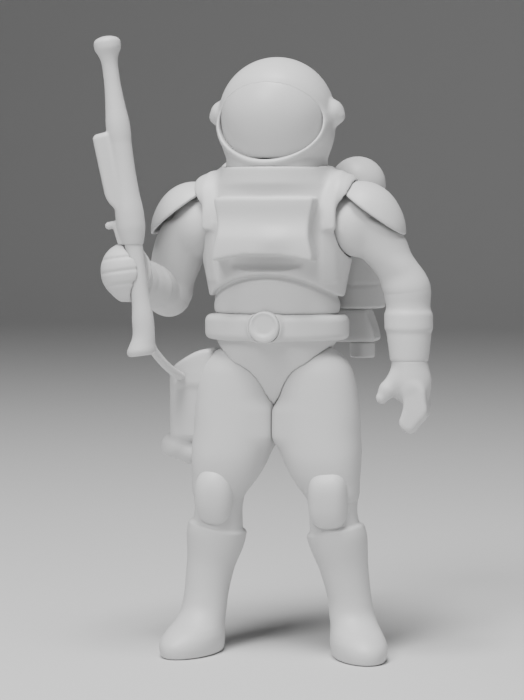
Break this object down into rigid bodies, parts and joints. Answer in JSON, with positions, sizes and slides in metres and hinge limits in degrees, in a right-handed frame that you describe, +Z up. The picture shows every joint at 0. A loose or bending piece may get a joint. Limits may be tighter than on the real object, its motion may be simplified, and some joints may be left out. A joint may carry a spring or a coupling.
{
  "type": "action figure",
  "caption": "Jointed space-trooper action figure with domed helmet, chest and jet packs, hip canister and a rifle held upright.",
  "frame": {"origin": "on the floor under the body's centre line, level with the soles", "axes": "+Z up from the soles to the helmet, -Y the way the figure faces, +X towards the figure's left hand"},
  "size_m": [0.0806, 0.0494, 0.1532],
  "materials": {
    "suit": "smooth moulded matt",
    "armour": "smooth moulded matt",
    "helmet": "smooth moulded matt",
    "visor": "smooth moulded matt, slightly finer",
    "boots": "smooth moulded matt",
    "gear": "smooth moulded matt",
    "gun": "smooth moulded matt",
    "joint": "as moulded"
  },
  "bodies": {
    "pelvis": {"pelvis": "suit", "belt": "armour", "belt_buckle": "armour", "waist_post": "joint"},
    "torso": {"torso_front": "suit", "torso_back": "suit", "vest_front": "armour", "vest_back": "armour", "right_strap": "armour", "left_strap": "armour", "collar_ring": "armour", "chest_pack": "gear", "neck_post": "joint", "right_tank": "gear", "left_tank": "gear", "nozzles": "gear", "pack_body": "gear", "pack_base": "gear"},
    "head": {"helmet_shell": "helmet", "visor": "visor", "visor_rim": "helmet", "right_ear_pod": "helmet", "left_ear_pod": "helmet"},
    "right_shoulder": {"right_shoulder_joint": "joint"},
    "right_upper_arm": {"right_upper_arm": "suit", "right_pauldron": "armour", "right_elbow_pin": "joint"},
    "right_forearm": {"right_forearm": "suit", "right_gauntlet": "armour"},
    "right_hand": {"right_hand": "suit", "right_wrist_peg": "joint"},
    "left_shoulder": {"left_shoulder_joint": "joint"},
    "left_upper_arm": {"left_upper_arm": "suit", "left_pauldron": "armour", "left_elbow_pin": "joint"},
    "left_forearm": {"left_forearm": "suit", "left_gauntlet": "armour"},
    "left_hand": {"left_hand": "suit", "left_wrist_peg": "joint"},
    "rifle": {"rifle_barrel": "gun", "rifle_receiver": "gun", "rifle_stock": "gun", "rifle_side_block": "gun", "rifle_lever": "gun", "hose": "gun"},
    "right_hip": {"right_hip_joint": "joint"},
    "right_thigh": {"right_thigh": "suit", "right_knee_pin": "joint", "canister_body": "gear", "canister_flap": "gear", "canister_cap": "gear"},
    "right_lower_leg": {"right_boot": "boots", "right_boot_cuff": "boots", "right_knee_pad": "boots"},
    "left_hip": {"left_hip_joint": "joint"},
    "left_thigh": {"left_thigh": "suit", "left_knee_pin": "joint"},
    "left_lower_leg": {"left_boot": "boots", "left_boot_cuff": "boots", "left_knee_pad": "boots"}
  },
  "joints": [
    {"name": "waist_turn", "type": "hinge", "parent": "pelvis", "child": "torso", "pos_m": [0, 0, 0.0856], "axis": [0, 0, 1], "range_deg": [-15, 15]},
    {"name": "head_turn", "type": "hinge", "parent": "torso", "child": "head", "pos_m": [0, 0, 0.1209], "axis": [0, 0, 1], "range_deg": [-60, 60]},
    {"name": "right_shoulder_swing", "type": "hinge", "parent": "torso", "child": "right_shoulder", "pos_m": [-0.0214, 0, 0.1086], "axis": [-1, 0, 0], "range_deg": [-5, 35]},
    {"name": "right_shoulder_lift", "type": "hinge", "parent": "right_shoulder", "child": "right_upper_arm", "pos_m": [-0.0214, 0, 0.1086], "axis": [0, 1, 0], "range_deg": [0, 15]},
    {"name": "right_elbow_bend", "type": "hinge", "parent": "right_upper_arm", "child": "right_forearm", "pos_m": [-0.0289, 0.0025, 0.0897], "axis": [-1, 0, 0], "range_deg": [-10, 0], "deforming": ["hose"]},
    {"name": "right_wrist_turn", "type": "hinge", "parent": "right_forearm", "child": "right_hand", "pos_m": [-0.0328, -0.0125, 0.0942], "axis": [0, 1, 0], "range_deg": [-5, 5]},
    {"name": "left_shoulder_swing", "type": "hinge", "parent": "torso", "child": "left_shoulder", "pos_m": [0.0214, 0, 0.1086], "axis": [-1, 0, 0], "range_deg": [-25, 80]},
    {"name": "left_shoulder_lift", "type": "hinge", "parent": "left_shoulder", "child": "left_upper_arm", "pos_m": [0.0214, 0, 0.1086], "axis": [0, -1, 0], "range_deg": [0, 40]},
    {"name": "left_elbow_bend", "type": "hinge", "parent": "left_upper_arm", "child": "left_forearm", "pos_m": [0.0328, 0.001, 0.0912], "axis": [-1, 0, 0], "range_deg": [0, 55]},
    {"name": "left_wrist_turn", "type": "hinge", "parent": "left_forearm", "child": "left_hand", "pos_m": [0.0337, -0.001, 0.0735], "axis": [0, 0, 1], "range_deg": [-45, 45]},
    {"name": "rifle_pull", "type": "slide", "parent": "right_hand", "child": "rifle", "axis": [1, 0, 0], "range_m": [0, 0.008]},
    {"name": "right_hip_swing", "type": "hinge", "parent": "pelvis", "child": "right_hip", "pos_m": [-0.0108, 0.0003, 0.0683], "axis": [-1, 0, 0], "range_deg": [-15, 35]},
    {"name": "right_hip_spread", "type": "hinge", "parent": "right_hip", "child": "right_thigh", "pos_m": [-0.0108, 0.0003, 0.0683], "axis": [0, 1, 0], "range_deg": [0, 8]},
    {"name": "right_knee_bend", "type": "hinge", "parent": "right_thigh", "child": "right_lower_leg", "pos_m": [-0.0146, -0.0016, 0.0398], "axis": [1, 0, 0], "range_deg": [0, 50]},
    {"name": "left_hip_swing", "type": "hinge", "parent": "pelvis", "child": "left_hip", "pos_m": [0.0108, 0.0003, 0.0683], "axis": [-1, 0, 0], "range_deg": [-15, 35]},
    {"name": "left_hip_spread", "type": "hinge", "parent": "left_hip", "child": "left_thigh", "pos_m": [0.0108, 0.0003, 0.0683], "axis": [0, -1, 0], "range_deg": [0, 15]},
    {"name": "left_knee_bend", "type": "hinge", "parent": "left_thigh", "child": "left_lower_leg", "pos_m": [0.0146, -0.0016, 0.0398], "axis": [1, 0, 0], "range_deg": [0, 50]}
  ]
}
